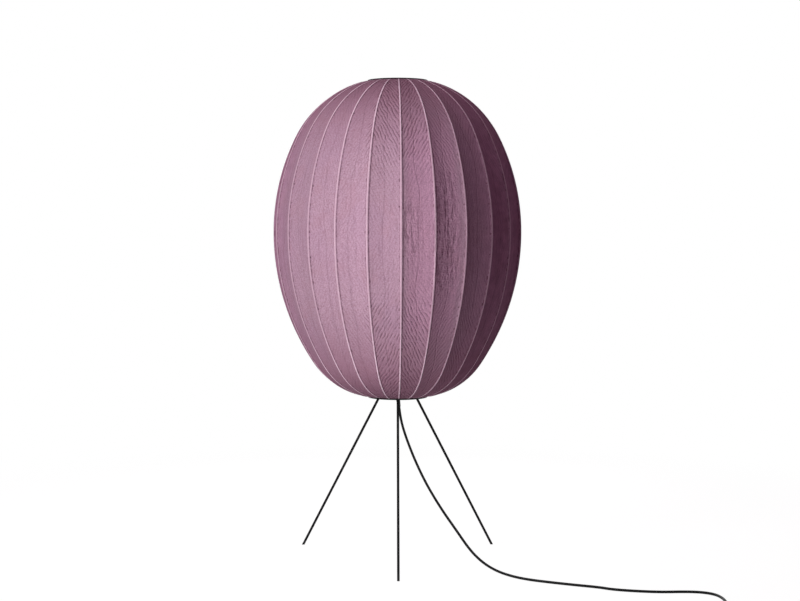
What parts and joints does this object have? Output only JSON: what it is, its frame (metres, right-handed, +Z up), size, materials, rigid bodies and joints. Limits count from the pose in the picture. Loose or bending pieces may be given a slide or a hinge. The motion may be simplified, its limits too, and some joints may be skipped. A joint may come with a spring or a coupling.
{
  "type": "floor lamp",
  "caption": "Floor lamp with a tall oval knitted shade over bowed ribs, on a low tripod of thin black rods, with a bulb inside and a corded foot switch.",
  "frame": {"origin": "on the floor under the shade's axis", "axes": "+Z up along the shade's axis, front leg towards -Y, cord towards +X"},
  "size_m": [0.8214, 0.8484, 0.9485],
  "materials": {
    "black_frame": "satin black powder coat",
    "rib_rod": "drawn glass fibre rod",
    "knit": "fine mauve knit with pale rib channels",
    "cast_hub": "plain casting",
    "foot_rubber": "matt black",
    "plain_steel": "zinc plated",
    "brass": "plain",
    "black_moulding": "fine texture",
    "button_moulding": "smooth",
    "holder_ceramic": "white glaze",
    "opal": "opal white",
    "white_moulding": "white",
    "cap_metal": "plain",
    "cord_sheath": "black sheath",
    "core_sheath": "brown and plain",
    "tie_strap": "woven",
    "pin_metal": "nickel plated"
  },
  "bodies": {
    "lamp": {"top_ring": "black_frame", "base_plate": "black_frame", "front_leg": "black_frame", "left_leg": "black_frame", "right_leg": "black_frame", "rib_01": "rib_rod", "rib_02": "rib_rod", "rib_03": "rib_rod", "rib_04": "rib_rod", "rib_05": "rib_rod", "rib_06": "rib_rod", "rib_07": "rib_rod", "rib_08": "rib_rod", "rib_09": "rib_rod", "rib_10": "rib_rod", "rib_11": "rib_rod", "rib_12": "rib_rod", "rib_13": "rib_rod", "rib_14": "rib_rod", "rib_15": "rib_rod", "rib_16": "rib_rod", "rib_17": "rib_rod", "rib_18": "rib_rod", "rib_19": "rib_rod", "rib_20": "rib_rod", "rib_21": "rib_rod", "rib_22": "rib_rod", "rib_23": "rib_rod", "rib_24": "rib_rod", "knit_cover": "knit", "tripod_hub": "cast_hub", "foot_tips": "foot_rubber", "hub_screws": "plain_steel", "leg_grub_screws": "plain_steel", "stem_nuts": "plain_steel", "switch_screws": "plain_steel", "stem": "plain_steel", "switch_spring": "plain_steel", "screw_shell": "brass", "centre_contact": "brass", "terminal_screws": "brass", "switch_contacts": "brass", "holder_cap": "black_moulding", "holder_sleeve": "black_moulding", "switch_base": "black_moulding", "switch_cover": "black_moulding", "plug_body": "black_moulding", "strain_relief": "black_moulding", "holder_core": "holder_ceramic", "lamp_cord": "cord_sheath", "cord_coil": "cord_sheath", "inner_lead": "cord_sheath", "core_wires": "core_sheath", "coil_tie": "tie_strap", "plug_pins": "pin_metal"},
    "bulb_base": {"bulb_contact": "brass"},
    "bulb": {"bulb_dome": "opal", "bulb_body": "white_moulding", "bulb_cap": "cap_metal"},
    "switch_button": {"switch_button": "button_moulding"}
  },
  "joints": [
    {"name": "bulb_lift", "type": "slide", "parent": "lamp", "child": "bulb_base", "axis": [0, 0, 1], "range_m": [0, 0.01815]},
    {"name": "bulb_turn", "type": "hinge", "parent": "bulb_base", "child": "bulb", "pos_m": [0, 0, 0.6], "axis": [0, 0, 1], "range_deg": [0, 1800]},
    {"name": "switch_press", "type": "slide", "parent": "lamp", "child": "switch_button", "axis": [0, 0, -1], "range_m": [0, 0.0025], "stiffness_N_per_m": 1500, "springref_m": -0.002, "deforming": ["switch_spring"]}
  ],
  "couplings": [
    {"joint": "bulb_lift", "follows": "bulb_turn", "m_per_rad": 0.00057757}
  ]
}
